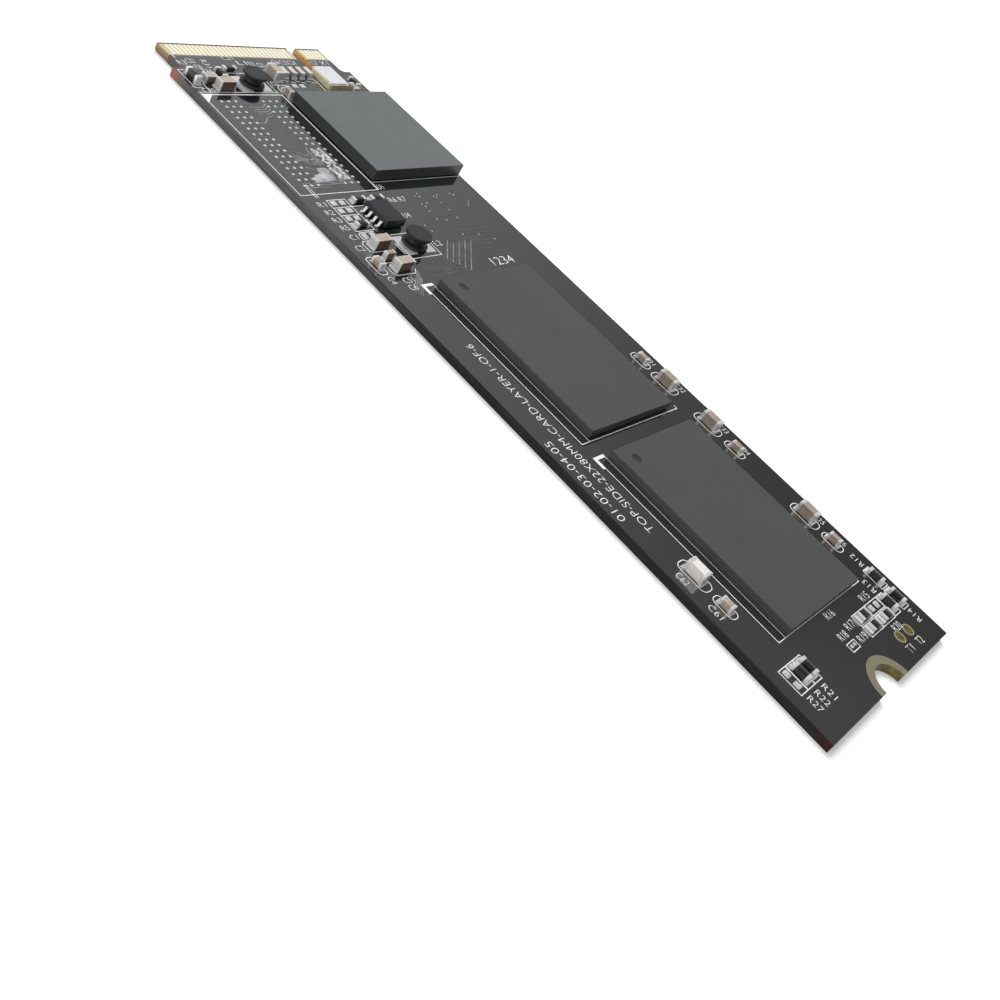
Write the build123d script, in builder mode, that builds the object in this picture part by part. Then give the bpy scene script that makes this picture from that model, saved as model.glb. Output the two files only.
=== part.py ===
from build123d import *
import os

# Solid state drive card with a card edge connector that is keyed by one notch.
# Millimetres. The card lies flat: X runs from the connector edge to the screw end, Y across the
# card, Z up. The origin is the middle of the board's underside.

# Edge contacts: odd positions on the top face, even positions on the underside
contact_pitch = 0.5
contact_width = 0.35
contact_length = 1.7
contact_setback = 0.2
contact_side_margin = 0.5
contact_position_count = 75
top_contacts = [*range(1, 58, 2), *range(67, 76, 2)]
bottom_contacts = [*range(2, 59, 2), *range(68, 75, 2)]
copper_thickness = 0.035

# Board: the tongue is as wide as its contacts need, and the board is as long as what it carries
board_thickness = 0.8
shoulder_width = 1.075
shoulder_radius = 0.5
tongue_length = 4.0
tongue_bevel = 0.15
front_zone = 9.1
power_zone = 13.65
end_zone = 7.15

# Key notch
notch_position = 62.5
notch_width = 1.2
notch_depth = 3.5

# Screw half-hole at the far end, lined with plated copper
screw_hole_radius = 1.75
ring_radius = 2.5
plating = 0.05

# Controller chip, on a grid of solder balls: outer rings and a block in the middle
controller_side = 12.0
controller_height = 1.0
controller_edge_margin = 0.1
controller_ball_pitch = 0.8
controller_ball_rows = 11
controller_ball_rings = 2
controller_ball_radius = 0.22
controller_ball_height = 0.16

# Flash memory chips, each on two banks of solder balls
flash_count = 2
flash_length = 18.0
flash_width = 11.9
flash_height = 0.71
flash_gap = 2.1
flash_ball_pitch = 1.0
flash_ball_radius = 0.26
flash_ball_height = 0.14
flash_bank_columns = 4
flash_bank_rows = 10
flash_bank_inset = 3.5
flash_mark_radius = 0.45
flash_mark_from_end = 1.35
flash_mark_from_side = 1.65
mark_depth = 0.03
ball_sides = 4
pad_sides = 6

# Empty footprint for a cache memory chip: round pads in two banks, in line with the controller
cache_column_count = 16
cache_row_count = 3
cache_pad_pitch = 0.8
cache_pad_radius = 0.19
cache_bank_spacing = 4.8
cache_from_near_edge = 4.93

# Test pads beside the screw hole
test_pad_radius = 0.54
test_pad_from_end = 2.1
test_pad_from_centre = 5.38
test_pad_spacing = 1.67

# Power coils: a drum core, its winding and the two pads under it
coil_radius = 1.17
coil_height = 1.2
coil_flange = 0.28
coil_post_radius = 0.5
coil_winding_radius = 0.92
coil_turns = 3
coil_pad_length = 2.4
coil_pad_width = 1.15
coil_pad_spacing = 2.3

# Voltage regulator with bent legs along both long sides
regulator_length = 2.95
regulator_width = 2.4
regulator_height = 0.78
regulator_standoff = 0.07
regulator_draft = 8
leg_pitch = 0.65
leg_count = 4
leg_width = 0.26
leg_thickness = 0.12
leg_reach = 0.62
leg_shoulder = 0.14
leg_drop = 0.16

# Clock crystal in a ceramic tray with a metal lid
crystal_length = 3.2
crystal_width = 2.5
crystal_base_height = 0.64
crystal_lid_height = 0.12
crystal_rim = 0.12
crystal_corner = 0.2

# Chip parts: outer size over the metal ends, and the length of each end
large = dict(length=1.75, width=0.95, height=0.95, end=0.3)
small = dict(length=1.15, width=0.65, height=0.6, end=0.24)
medium = dict(length=1.3, width=0.9, height=0.7, end=0.26)
tall = dict(length=1.0, width=0.5, height=0.8, end=0.22)
wide_resistor = dict(length=1.45, width=0.72, height=0.43, end=0.28)
slim_resistor = dict(length=1.45, width=0.58, height=0.43, end=0.28)
bead = dict(length=1.7, width=0.6, height=0.78, end=0.34)
end_step = 0.02
ALONG = 0
ACROSS = 90

# Places of the chip parts. Each row is a size, the distance along X from where its group is
# measured, the distance in from its long edge of the board, and the direction
connector_far_capacitors = [
    (small, 4.8, 9.8, ALONG),
    (small, 4.8, 8.76, ALONG),
    (small, 4.8, 7.73, ALONG),
    (small, 4.8, 6.7, ALONG),
    (large, 5.08, 11.15, ALONG),
    (small, 7.24, 2.49, ALONG),
    (tall, 8.26, 11.93, ALONG),
]
connector_near_capacitors = [
    (large, 7.09, 3.5, ACROSS),
    (medium, 5.98, 2.51, ACROSS),
]
power_capacitors = [
    (large, 8.15, 3.24, ACROSS),
    (tall, 9.74, 2.8, ACROSS),
    (large, 10.99, 3.35, ACROSS),
    (small, 10.3, 1.17, ALONG),
]
first_flash_capacitors = [
    (small, 12.67, 2.0, ALONG),
    (large, 15.62, 2.0, ALONG),
]
last_flash_start_capacitors = [
    (large, 0.65, 2.0, ALONG),
    (small, 3.75, 2.0, ALONG),
]
last_flash_end_far_capacitors = [
    (large, -6.55, 2.0, ALONG),
    (small, -3.59, 2.0, ALONG),
]
last_flash_end_near_capacitors = [
    (large, -7.05, 2.35, ALONG),
    (small, -3.99, 2.28, ALONG),
]
connector_far_resistors = [
    (slim_resistor, 6.1, 1.28, ALONG),
]
connector_near_resistors = [
    (slim_resistor, 4.3, 6.05, ACROSS),
    (slim_resistor, 5.0, 4.65, ALONG),
]
power_resistors = [
    (slim_resistor, 2.5, 8.03, ACROSS),
    (slim_resistor, 2.48, 5.83, ACROSS),
    (slim_resistor, 5.55, 3.5, ACROSS),
]
screw_far_resistors = [
    (wide_resistor, 6.6, 1.55, ALONG),
    (wide_resistor, 4.45, 1.55, ALONG),
    (wide_resistor, 4.5, 3.13, ALONG),
    (wide_resistor, 3.92, 5.0, ACROSS),
    (wide_resistor, 4.96, 7.43, ACROSS),
    (wide_resistor, 3.92, 7.43, ACROSS),
]
screw_near_resistors = [
    (wide_resistor, 4.68, 4.1, ALONG),
    (wide_resistor, 4.68, 3.02, ALONG),
]
connector_near_bead = [(bead, 5.73, 0.91, ALONG)]

# Bare pads of parts that are not fitted, in pairs: place and direction as above
chip_pad = 0.58
chip_pad_spacing = 0.98
tiny_pad = 0.3
tiny_pad_spacing = 0.5
power_pad_pairs = [(2.48, 3.5, ACROSS), (3.5, 3.5, ACROSS), (4.52, 3.5, ACROSS), (6.75, 3.38, ACROSS)]
connector_pad_pairs = [(6.6, 9.1, ACROSS)]
screw_far_pad_pairs = [(4.96, 5.0, ACROSS)]
screw_near_pad_pairs = [(4.72, 1.9, ALONG)]
tiny_pads_from_end = 3.83
tiny_pads_from_far_edge = 11.28

# Places of the single parts: distance along X from the connector edge or from the controller's
# far side, and distance in from the long edge
first_coil_along = 6.4
first_coil_across = 7.2
second_coil_along = 8.5
second_coil_across = 7.3
regulator_along = 4.85
regulator_across = 6.78
crystal_along = 5.77
crystal_across = 4.51

# Worked out from the sizes above
tongue_width = (contact_position_count - 1) * contact_pitch / 2 + contact_width + 2 * contact_side_margin
board_width = tongue_width + 2 * shoulder_width
flash_step = flash_length + flash_gap
flash_zone = flash_count * flash_step - flash_gap
board_length = front_zone + controller_side + power_zone + flash_zone + end_zone
front = -board_length / 2
screw_end = board_length / 2
near_edge = -board_width / 2
far_edge = board_width / 2
board_top = board_thickness
controller_x = front + front_zone + controller_side / 2
controller_y = far_edge - controller_edge_margin - controller_side / 2
power_start = controller_x + controller_side / 2
flash_start = power_start + power_zone
flash_centres = [flash_start + flash_length / 2 + i * flash_step for i in range(flash_count)]
last_flash_start = flash_centres[-1] - flash_length / 2
last_flash_end = flash_centres[-1] + flash_length / 2

os.makedirs("parts", exist_ok=True)


def save(builder, label):
    builder.part.label = label
    export_step(builder.part, f"parts/{label}.step")


def placed(group, datum, edge):
    """Rows of a group with its distances turned into X and Y, inward from the datum and edge."""
    onward = -1 if datum == screw_end else 1
    inward = -1 if edge == far_edge else 1
    return [
        (*size, datum + onward * along, edge + inward * across, direction)
        for *size, along, across, direction in group
    ]


def contact_y(position):
    return (position - (contact_position_count + 1) / 2) * contact_pitch / 2


# Circuit board: outline with tongue, key notch and screw half-hole, sunk where copper lies
with BuildPart() as circuit_board:
    with BuildSketch() as outline:
        with Locations((tongue_length / 2, 0)):
            Rectangle(board_length - tongue_length, board_width)
        with Locations((front + tongue_length / 2, 0)):
            Rectangle(tongue_length, tongue_width)
        inner_corners = outline.vertices().group_by(Axis.X)[1].sort_by(Axis.Y)[1:-1]
        fillet(inner_corners, radius=min(shoulder_radius, shoulder_width * 0.9))
        with Locations((front, contact_y(notch_position))):
            SlotOverall(2 * notch_depth, notch_width, mode=Mode.SUBTRACT)
        with Locations((screw_end, 0)):
            Circle(screw_hole_radius + plating, mode=Mode.SUBTRACT)
    extrude(amount=board_thickness)
    for level, depth in ((0, copper_thickness), (board_top, -copper_thickness)):
        with BuildSketch(Plane.XY.offset(level)):
            with Locations((front + contact_setback + contact_length / 2, 0)):
                Rectangle(contact_length + 2 * contact_setback, board_width)
            with Locations((screw_end, 0)):
                Circle(ring_radius)
        extrude(amount=depth, mode=Mode.SUBTRACT)
    front_edges = circuit_board.edges().filter_by(Axis.Y).group_by(Axis.X)[0]
    chamfer(front_edges, length=tongue_bevel)
save(circuit_board, "circuit_board")


# Edge contacts, flush with each face of the board
def edge_contacts(label, positions, level):
    with BuildPart() as contacts:
        with BuildSketch(Plane.XY.offset(level)):
            middle = front + contact_setback + contact_length / 2
            with Locations(*[(middle, contact_y(position)) for position in positions]):
                Rectangle(contact_length, contact_width)
        extrude(amount=copper_thickness)
    save(contacts, label)


edge_contacts("top_contacts", top_contacts, board_top - copper_thickness)
edge_contacts("bottom_contacts", bottom_contacts, 0)

# Plated lining of the screw half-hole: a barrel with a flat ring on each face
with BuildPart() as screw_hole_ring:
    with BuildSketch(Plane.YZ.offset(screw_end)):
        with BuildLine():
            Polyline(
                (screw_hole_radius, 0),
                (ring_radius, 0),
                (ring_radius, copper_thickness),
                (screw_hole_radius + plating, copper_thickness),
                (screw_hole_radius + plating, board_top - copper_thickness),
                (ring_radius, board_top - copper_thickness),
                (ring_radius, board_top),
                (screw_hole_radius, board_top),
                close=True,
            )
        make_face()
    revolve(axis=Axis((screw_end, 0, 0), (0, 0, 1)), revolution_arc=180)
save(screw_hole_ring, "screw_hole_ring")


# Solder balls between a chip and the board
def solder_balls(label, places, radius, height):
    with BuildPart() as grid:
        with BuildSketch(Plane.XY.offset(board_top)):
            with Locations(*places):
                RegularPolygon(radius, ball_sides)
        extrude(amount=height)
    save(grid, label)


# Controller chip
half_grid = controller_ball_rows // 2
steps = range(-half_grid, half_grid + 1)
controller_balls = [
    (controller_x + i * controller_ball_pitch, controller_y + j * controller_ball_pitch)
    for i in steps
    for j in steps
    if max(abs(i), abs(j)) > half_grid - controller_ball_rings or max(abs(i), abs(j)) <= 1
]
solder_balls("controller_balls", controller_balls, controller_ball_radius, controller_ball_height)
with BuildPart() as controller_chip:
    with BuildSketch(Plane.XY.offset(board_top + controller_ball_height)):
        with Locations((controller_x, controller_y)):
            Rectangle(controller_side, controller_side)
    extrude(amount=controller_height)
save(controller_chip, "controller_chip")

# Flash memory chips, each with a moulded dimple at its first corner
flash_base = board_top + flash_ball_height
for number, flash_x in enumerate(flash_centres, start=1):
    bank_x = flash_length / 2 - flash_bank_inset
    ball_x = [(i - (flash_bank_columns - 1) / 2) * flash_ball_pitch for i in range(flash_bank_columns)]
    ball_y = [(j - (flash_bank_rows - 1) / 2) * flash_ball_pitch for j in range(flash_bank_rows)]
    places = [(flash_x + bank + x, y) for bank in (-bank_x, bank_x) for x in ball_x for y in ball_y]
    solder_balls(f"flash_balls_{number}", places, flash_ball_radius, flash_ball_height)
    with BuildPart() as flash_chip:
        with BuildSketch(Plane.XY.offset(flash_base)):
            with Locations((flash_x, 0)):
                Rectangle(flash_length, flash_width)
        extrude(amount=flash_height)
        mark_x = flash_x - flash_length / 2 + flash_mark_from_end
        mark_y = -flash_width / 2 + flash_mark_from_side
        with BuildSketch(Plane.XY.offset(flash_base + flash_height)):
            with Locations((mark_x, mark_y)):
                Circle(flash_mark_radius)
        extrude(amount=-mark_depth, mode=Mode.SUBTRACT)
    save(flash_chip, f"flash_chip_{number}")

# Pads of the empty cache memory footprint
with BuildPart() as cache_memory_pads:
    with BuildSketch(Plane.XY.offset(board_top)):
        for bank in (-1, 1):
            bank_y = near_edge + cache_from_near_edge + bank * cache_bank_spacing / 2
            with Locations((controller_x, bank_y)):
                with GridLocations(cache_pad_pitch, cache_pad_pitch, cache_column_count, cache_row_count):
                    RegularPolygon(cache_pad_radius, pad_sides)
    extrude(amount=copper_thickness)
save(cache_memory_pads, "cache_memory_pads")

# Bare pads of chip parts that are not fitted
pad_pairs = [
    *placed(power_pad_pairs, power_start, near_edge),
    *placed(connector_pad_pairs, front, far_edge),
    *placed(screw_far_pad_pairs, screw_end, far_edge),
    *placed(screw_near_pad_pairs, screw_end, near_edge),
]
with BuildPart() as spare_chip_pads:
    with BuildSketch(Plane.XY.offset(board_top)):
        for x, y, direction in pad_pairs:
            with Locations(Location((x, y), direction)):
                with GridLocations(chip_pad_spacing, 1, 2, 1):
                    Rectangle(chip_pad, chip_pad)
        with Locations((screw_end - tiny_pads_from_end, far_edge - tiny_pads_from_far_edge)):
            with GridLocations(1, tiny_pad_spacing, 1, 2):
                Rectangle(tiny_pad, tiny_pad)
    extrude(amount=copper_thickness)
save(spare_chip_pads, "spare_chip_pads")

# Test pads
with BuildPart() as test_pads:
    with BuildSketch(Plane.XY.offset(board_top)):
        for i in range(2):
            with Locations((screw_end - test_pad_from_end, test_pad_from_centre + i * test_pad_spacing)):
                Circle(test_pad_radius)
    extrude(amount=copper_thickness)
save(test_pads, "test_pads")

# Power coils
coil_places = [
    (front + first_coil_along, near_edge + first_coil_across),
    (power_start + second_coil_along, near_edge + second_coil_across),
]
with BuildPart() as coil_pads:
    with BuildSketch(Plane.XY.offset(board_top)):
        with Locations(*coil_places):
            with GridLocations(1, coil_pad_spacing, 1, 2):
                Rectangle(coil_pad_length, coil_pad_width)
    extrude(amount=copper_thickness)
save(coil_pads, "coil_pads")

coil_base = board_top + copper_thickness
winding_base = coil_base + coil_flange
winding_height = coil_height - 2 * coil_flange
turn = winding_height / coil_turns
for number, (coil_x, coil_y) in enumerate(coil_places, start=1):
    axis = Axis((coil_x, coil_y, 0), (0, 0, 1))
    with BuildPart() as coil_core:
        with BuildSketch(Plane.XY.offset(coil_base)):
            with Locations((coil_x, coil_y)):
                Circle(coil_radius)
        extrude(amount=coil_flange)
        with BuildSketch(Plane.XY.offset(winding_base)):
            with Locations((coil_x, coil_y)):
                Circle(coil_post_radius)
        extrude(amount=winding_height)
        with BuildSketch(Plane.XY.offset(winding_base + winding_height)):
            with Locations((coil_x, coil_y)):
                Circle(coil_radius)
        extrude(amount=coil_flange)
    save(coil_core, f"coil_core_{number}")

    with BuildPart() as coil_winding:
        with BuildSketch(Plane.XZ.offset(-coil_y)):
            with BuildLine():
                outside = [
                    (coil_x + coil_winding_radius - (turn / 2 if i % 2 == 0 else 0), winding_base + i * turn / 2)
                    for i in range(2 * coil_turns + 1)
                ]
                Polyline(
                    (coil_x + coil_post_radius, winding_base),
                    *outside,
                    (coil_x + coil_post_radius, winding_base + winding_height),
                    close=True,
                )
            make_face()
        revolve(axis=axis)
    save(coil_winding, f"coil_winding_{number}")

# Voltage regulator: the case tapers above and below the line where the legs come out
regulator_x = power_start + regulator_along
regulator_y = near_edge + regulator_across
leg_level = board_top + regulator_standoff + regulator_height / 2
taper_height = (regulator_height - leg_thickness) / 2
with BuildPart() as regulator_case:
    with BuildSketch(Plane.XY.offset(leg_level)):
        with Locations((regulator_x, regulator_y)):
            Rectangle(regulator_length, regulator_width)
    extrude(amount=leg_thickness / 2, both=True)
    for end in (Axis.Z, -Axis.Z):
        extrude(regulator_case.faces().sort_by(end)[-1], amount=taper_height, taper=regulator_draft)
save(regulator_case, "regulator_case")

foot_level = board_top + leg_thickness / 2
with BuildPart() as regulator_legs:
    for side in (-1, 1):
        root_y = regulator_y + side * regulator_width / 2
        for i in range(leg_count):
            leg_x = regulator_x + (i - (leg_count - 1) / 2) * leg_pitch
            with BuildSketch(Plane.YZ.offset(leg_x)):
                with BuildLine():
                    Polyline(
                        (root_y, leg_level),
                        (root_y + side * leg_shoulder, leg_level),
                        (root_y + side * (leg_shoulder + leg_drop), foot_level),
                        (root_y + side * leg_reach, foot_level),
                    )
                trace(line_width=leg_thickness)
            extrude(amount=leg_width / 2, both=True)
save(regulator_legs, "regulator_legs")

# Clock crystal
crystal_x = front + crystal_along
crystal_y = far_edge - crystal_across
with BuildPart() as crystal_base:
    with BuildSketch(Plane.XY.offset(board_top)):
        with Locations((crystal_x, crystal_y)):
            base_outline = Rectangle(crystal_length, crystal_width)
        chamfer(base_outline.vertices(), length=crystal_corner)
    extrude(amount=crystal_base_height)
save(crystal_base, "crystal_base")
with BuildPart() as crystal_lid:
    with BuildSketch(Plane.XY.offset(board_top + crystal_base_height)):
        offset(base_outline.face(), amount=-crystal_rim)
    extrude(amount=crystal_lid_height)
save(crystal_lid, "crystal_lid")


# Chip capacitors, resistors and bead: a body between two metal ends that stand a little proud
def chip_part(label, size, x, y, direction):
    body = Plane(origin=(x, y, board_top), x_dir=Vector(1, 0, 0).rotate(Axis.Z, direction))
    end_middle = (size["length"] - size["end"]) / 2
    with BuildPart() as chip:
        with BuildSketch(body.offset(end_step)):
            Rectangle(size["length"] - size["end"], size["width"] - 2 * end_step)
        extrude(amount=size["height"] - 2 * end_step)
        with BuildSketch(body):
            with Locations((-end_middle, 0), (end_middle, 0)):
                Rectangle(size["end"], size["width"])
        extrude(amount=size["height"])
    save(chip, label)


# Groups of chip parts, measured from the connector edge, a chip's end or the screw end
capacitors = [
    *placed(connector_far_capacitors, front, far_edge),
    *placed(connector_near_capacitors, front, near_edge),
    *placed(power_capacitors, power_start, near_edge),
    *placed(first_flash_capacitors, flash_start, far_edge),
    *placed(last_flash_start_capacitors, last_flash_start, far_edge),
    *placed(last_flash_end_far_capacitors, last_flash_end, far_edge),
    *placed(last_flash_end_near_capacitors, last_flash_end, near_edge),
]
resistors = [
    *placed(connector_far_resistors, front, far_edge),
    *placed(connector_near_resistors, front, near_edge),
    *placed(power_resistors, power_start, near_edge),
    *placed(screw_far_resistors, screw_end, far_edge),
    *placed(screw_near_resistors, screw_end, near_edge),
]
for number, (size, x, y, direction) in enumerate(capacitors, start=1):
    chip_part(f"capacitor_{number:02d}", size, x, y, direction)
for number, (size, x, y, direction) in enumerate(resistors, start=1):
    chip_part(f"resistor_{number:02d}", size, x, y, direction)
for size, x, y, direction in placed(connector_near_bead, front, near_edge):
    chip_part("ferrite_bead", size, x, y, direction)
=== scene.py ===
import math

import bmesh
import bpy
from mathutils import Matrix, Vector


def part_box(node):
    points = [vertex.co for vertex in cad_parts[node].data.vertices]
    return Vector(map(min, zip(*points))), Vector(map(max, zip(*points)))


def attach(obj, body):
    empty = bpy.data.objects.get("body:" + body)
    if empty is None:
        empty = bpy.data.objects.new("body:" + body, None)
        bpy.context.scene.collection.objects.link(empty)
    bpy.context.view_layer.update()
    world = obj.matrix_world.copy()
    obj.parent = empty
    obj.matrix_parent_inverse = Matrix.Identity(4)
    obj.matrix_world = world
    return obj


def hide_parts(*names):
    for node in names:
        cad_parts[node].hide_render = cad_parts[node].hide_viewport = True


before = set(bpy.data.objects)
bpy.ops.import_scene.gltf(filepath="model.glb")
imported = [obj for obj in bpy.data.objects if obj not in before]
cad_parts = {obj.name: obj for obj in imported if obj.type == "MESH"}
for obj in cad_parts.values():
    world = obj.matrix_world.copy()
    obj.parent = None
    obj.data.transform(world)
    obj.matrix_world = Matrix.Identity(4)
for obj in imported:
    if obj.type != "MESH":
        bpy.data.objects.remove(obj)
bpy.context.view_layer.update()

# Lengths in this script are in millimetres times MM, because the scene is in metres
MM = 0.001
UP = Vector((0, 0, 1))
TOUCH = 1e-6



def box_corners(node):
    """The low and the high corner of a node's box."""
    return [Vector(corner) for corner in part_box(node)]


board_low, board_high = box_corners("circuit_board")
board_top = board_high.z
CONTACT_SINK = 0.035 * MM
PRINT_LINE = 0.07 * MM
PRINT_HEIGHT = 0.012 * MM
LAYER = 0.0012 * MM
LABEL_HEIGHT = 0.66
CONTACT_STRIP = 1.95 * MM
TONGUE_REACH = 3.9 * MM
SOLDER_REACH = 0.16 * MM
CHIP_GAP_COVERED = 0.55
CROSSWISE_BAND = 0.5
CACHE_PAD_SHARE = 0.8
COIL_POST_RADIUS = 0.5 * MM
COIL_TURNS = 5


# Handling pieces


def take(piece):
    """Selects one piece alone and makes it the one that the tools act on."""
    bpy.ops.object.select_all(action="DESELECT")
    piece.select_set(True)
    bpy.context.view_layer.objects.active = piece


def open_mesh(piece, kind="FACE", chosen="DESELECT"):
    """Opens a piece's mesh to be shaped, with none of it selected or all."""
    take(piece)
    bpy.ops.object.mode_set(mode="EDIT")
    bpy.ops.mesh.select_mode(type=kind)
    bpy.ops.mesh.select_all(action=chosen)


def close_mesh():
    bpy.ops.object.mode_set(mode="OBJECT")


def choose_faces(piece, wanted):
    """Selects the faces whose middle and normal pass the test."""
    mesh = bmesh.from_edit_mesh(piece.data)
    for face in mesh.faces:
        face.select_set(wanted(face.calc_center_median(), face.normal))
    bmesh.update_edit_mesh(piece.data)


def choose_edges(piece, wanted):
    """Selects the edges whose two ends pass the test."""
    mesh = bmesh.from_edit_mesh(piece.data)
    for edge in mesh.edges:
        edge.select_set(wanted(edge.verts[0].co, edge.verts[1].co))
    bmesh.update_edit_mesh(piece.data)


def fix_place(piece):
    take(piece)
    bpy.ops.object.transform_apply(location=True, rotation=True, scale=True)


def modify(piece, kind, **settings):
    """Adds a modifier with its settings and applies it."""
    take(piece)
    modifier = piece.modifiers.new(kind.lower(), kind)
    for setting, value in settings.items():
        setattr(modifier, setting, value)
    bpy.ops.object.modifier_apply(modifier=modifier.name)


def smooth(piece, angle=35):
    """Smooth shading over eased edges, with the large faces kept flat."""
    take(piece)
    bpy.ops.object.shade_smooth_by_angle(angle=math.radians(angle))
    modify(piece, "WEIGHTED_NORMAL", keep_sharp=True, weight=100)


def give_finish(piece, number, wanted):
    """Gives the faces that pass the test the finish with that number in the piece's list."""
    open_mesh(piece)
    choose_faces(piece, wanted)
    piece.active_material_index = number
    bpy.ops.object.material_slot_assign()
    close_mesh()


def join(name, pieces):
    bpy.ops.object.select_all(action="DESELECT")
    for piece in pieces:
        piece.select_set(True)
    bpy.context.view_layer.objects.active = pieces[0]
    if len(pieces) > 1:
        bpy.ops.object.join()
    joined = bpy.context.view_layer.objects.active
    joined.name = name
    return joined


def settle(piece, name, slot, *nodes):
    """Gives a finished piece its name and its body, and hides the nodes that it stands for. The slot is not
    used.
    """
    piece.name = name
    piece.data.name = name
    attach(piece, "root")
    if nodes:
        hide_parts(*nodes)
    return piece


# Shapes that several pieces share


def block(low, high, material, edge=0.0, segments=2):
    """A box between two corners, with its edges eased."""
    low = Vector(low)
    high = Vector(high)
    bpy.ops.mesh.primitive_cube_add(size=1, location=(low + high) / 2, scale=high - low)
    piece = bpy.context.object
    fix_place(piece)
    piece.data.materials.append(material)
    if edge:
        open_mesh(piece, "EDGE", chosen="SELECT")
        bpy.ops.mesh.bevel(offset=edge, segments=segments, affect="EDGES", clamp_overlap=True)
        close_mesh()
    return piece


def plate(low, high, material, corner, edge):
    """A thin plate with round corners and an eased upper rim."""
    piece = block(low, high, material)
    open_mesh(piece, "EDGE")
    choose_edges(piece, lambda a, b: abs(a.z - b.z) > TOUCH)
    bpy.ops.mesh.bevel(offset=corner, segments=4, affect="EDGES", clamp_overlap=True)
    top = Vector(high).z
    choose_edges(piece, lambda a, b: min(a.z, b.z) > top - TOUCH)
    bpy.ops.mesh.bevel(offset=edge, segments=2, affect="EDGES", clamp_overlap=True)
    close_mesh()
    return piece


def extent(piece):
    """The low and the high corner of a piece's own mesh."""
    places = [vertex.co for vertex in piece.data.vertices]
    return [Vector([pick(place[axis] for place in places) for axis in range(3)]) for pick in (min, max)]


def mesh_copy(piece, name):
    """A piece of the same shape, with a mesh of its own."""
    copy = bpy.data.objects.new(name, piece.data.copy())
    bpy.context.scene.collection.objects.link(copy)
    return copy


def dressed_copy(node, material, edge, segments=2):
    """A copy of a node with its loose triangles merged and its sharp edges eased."""
    piece = mesh_copy(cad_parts[node], node)
    piece.data.materials.clear()
    piece.data.materials.append(material)
    open_mesh(piece, chosen="SELECT")
    bpy.ops.mesh.remove_doubles(threshold=TOUCH)
    bpy.ops.mesh.dissolve_limited(angle_limit=math.radians(2))
    close_mesh()
    if edge:
        angle = math.radians(30)
        modify(piece, "BEVEL", width=edge, segments=segments, limit_method="ANGLE", angle_limit=angle)
    return piece


def solid_boxes(node):
    """The box of each separate solid in a node."""
    piece = mesh_copy(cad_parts[node], "measured")
    open_mesh(piece, chosen="SELECT")
    bpy.ops.mesh.remove_doubles(threshold=TOUCH)
    bpy.ops.mesh.separate(type="LOOSE")
    close_mesh()
    boxes = []
    for part in list(bpy.context.selected_objects):
        boxes.append(extent(part))
        bpy.data.meshes.remove(part.data)
    return boxes


def copies_at(pattern, places):
    """Copies of a shape that is modelled at the origin, each with its own mesh."""
    copies = []
    for place in places:
        copy = mesh_copy(pattern, pattern.name)
        copy.location = place
        copies.append(copy)
    bpy.data.meshes.remove(pattern.data)
    joined = join("copies", copies)
    bpy.context.scene.cursor.location = (0, 0, 0)
    bpy.ops.object.origin_set(type="ORIGIN_CURSOR")
    return joined


# Materials


class Nodes:
    """A node tree with short ways to add and link nodes."""

    def __init__(self, tree):
        self.nodes = tree.nodes
        self.links = tree.links

    def node(self, kind, **settings):
        node = self.nodes.new(kind)
        for setting, value in settings.items():
            setattr(node, setting, value)
        return node

    def link(self, source, target):
        self.links.new(source, target)

    def part(self, source, axis):
        """One part of a vector."""
        split = self.node("ShaderNodeSeparateXYZ")
        self.link(source, split.inputs[0])
        return split.outputs[axis]

    def fade(self, value, low, high, to_low=0.0, to_high=1.0, interpolation="LINEAR"):
        node = self.node("ShaderNodeMapRange", interpolation_type=interpolation)
        for socket, number in zip(("From Min", "From Max", "To Min", "To Max"), (low, high, to_low, to_high)):
            node.inputs[socket].default_value = number
        self.link(value, node.inputs["Value"])
        return node.outputs["Result"]

    def fill(self, sockets, values):
        """Gives each socket its number, or links it."""
        for socket, value in zip(sockets, values):
            if isinstance(value, (int, float)):
                socket.default_value = value
            else:
                self.link(value, socket)

    def math(self, operation, first, second):
        node = self.node("ShaderNodeMath", operation=operation)
        self.fill(node.inputs, (first, second))
        return node.outputs[0]

    def blend(self, factor, first, second):
        """Mixes two levels, each a number or a socket."""
        node = self.node("ShaderNodeMix")
        self.link(factor, node.inputs[0])
        self.fill(node.inputs[2:4], (first, second))
        return node.outputs[0]


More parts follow.
